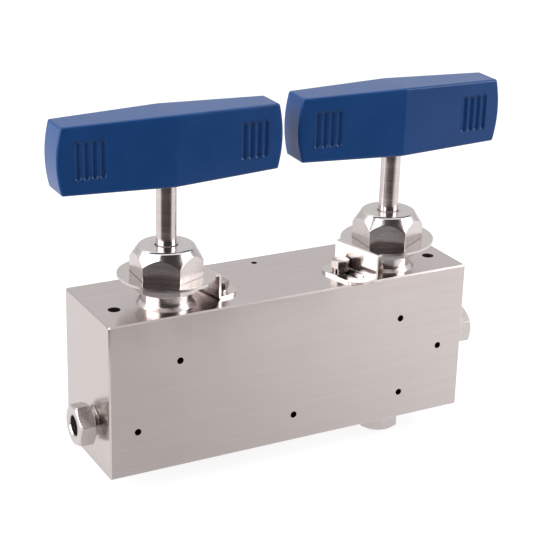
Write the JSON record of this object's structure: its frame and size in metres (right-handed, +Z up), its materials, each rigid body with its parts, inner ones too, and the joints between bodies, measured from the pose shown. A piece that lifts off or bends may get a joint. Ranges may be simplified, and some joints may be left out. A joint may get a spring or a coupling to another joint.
{
  "type": "instrument valve manifold",
  "caption": "Block-and-bleed needle valve manifold: bar-stock steel block, blue bar handles on rising stems, hex packing glands with locking brackets and tube gland nuts.",
  "frame": {"origin": "middle of the block's flat back face", "axes": "+X along the row of valves from the inlet to the outlet, +Y out of the back face, +Z up the valve stems towards the handles"},
  "size_m": [0.1519, 0.038, 0.1193],
  "materials": {
    "block_steel": "finely ground stainless bar stock",
    "gland_steel": "polished stainless, turned and milled",
    "bracket_steel": "bright stamped stainless sheet",
    "nut_steel": "turned stainless, bright",
    "stem_steel": "ground and polished stainless",
    "screw_steel": "plain stainless fastener",
    "inner_steel": "turned stainless",
    "dark_screw": "black oxide",
    "packing": "filled PTFE",
    "handle_paint": "blue semi-gloss coating"
  },
  "bodies": {
    "manifold": {"body_block": "block_steel", "inlet_gland_nut": "nut_steel", "inlet_collar": "inner_steel", "outlet_gland_nut": "nut_steel", "outlet_collar": "inner_steel", "vent_gland_nut": "nut_steel", "vent_collar": "inner_steel", "left_packing_gland": "gland_steel", "left_upper_packing_washer": "inner_steel", "left_packing": "packing", "left_lower_packing_washer": "inner_steel", "left_locking_bracket": "bracket_steel", "left_bracket_screw": "screw_steel", "left_bracket_lock_washer": "screw_steel", "right_packing_gland": "gland_steel", "right_upper_packing_washer": "inner_steel", "right_packing": "packing", "right_lower_packing_washer": "inner_steel", "right_locking_bracket": "bracket_steel", "right_bracket_screw": "screw_steel", "right_bracket_lock_washer": "screw_steel"},
    "left_needle": {"left_lower_stem": "inner_steel"},
    "left_handle_and_stem": {"left_handle": "handle_paint", "left_handle_set_screw": "dark_screw", "left_upper_stem": "stem_steel", "left_stem_retainer": "inner_steel", "left_thrust_washer": "inner_steel"},
    "right_needle": {"right_lower_stem": "inner_steel"},
    "right_handle_and_stem": {"right_handle": "handle_paint", "right_handle_set_screw": "dark_screw", "right_upper_stem": "stem_steel", "right_stem_retainer": "inner_steel", "right_thrust_washer": "inner_steel"}
  },
  "joints": [
    {"name": "left_needle_lift", "type": "slide", "parent": "manifold", "child": "left_needle", "axis": [0, 0, 1], "range_m": [0, 0.00286]},
    {"name": "left_handle_turn", "type": "hinge", "parent": "left_needle", "child": "left_handle_and_stem", "pos_m": [-0.0393, -0.0229, 0.04], "axis": [0, 0, 1], "range_deg": [0, 810]},
    {"name": "right_needle_lift", "type": "slide", "parent": "manifold", "child": "right_needle", "axis": [0, 0, 1], "range_m": [0, 0.00286]},
    {"name": "right_handle_turn", "type": "hinge", "parent": "right_needle", "child": "right_handle_and_stem", "pos_m": [0.03984, -0.0229, 0.04], "axis": [0, 0, 1], "range_deg": [0, 810]}
  ],
  "couplings": [
    {"joint": "left_needle_lift", "follows": "left_handle_turn", "m_per_rad": 0.00020213},
    {"joint": "right_needle_lift", "follows": "right_handle_turn", "m_per_rad": 0.00020213}
  ]
}
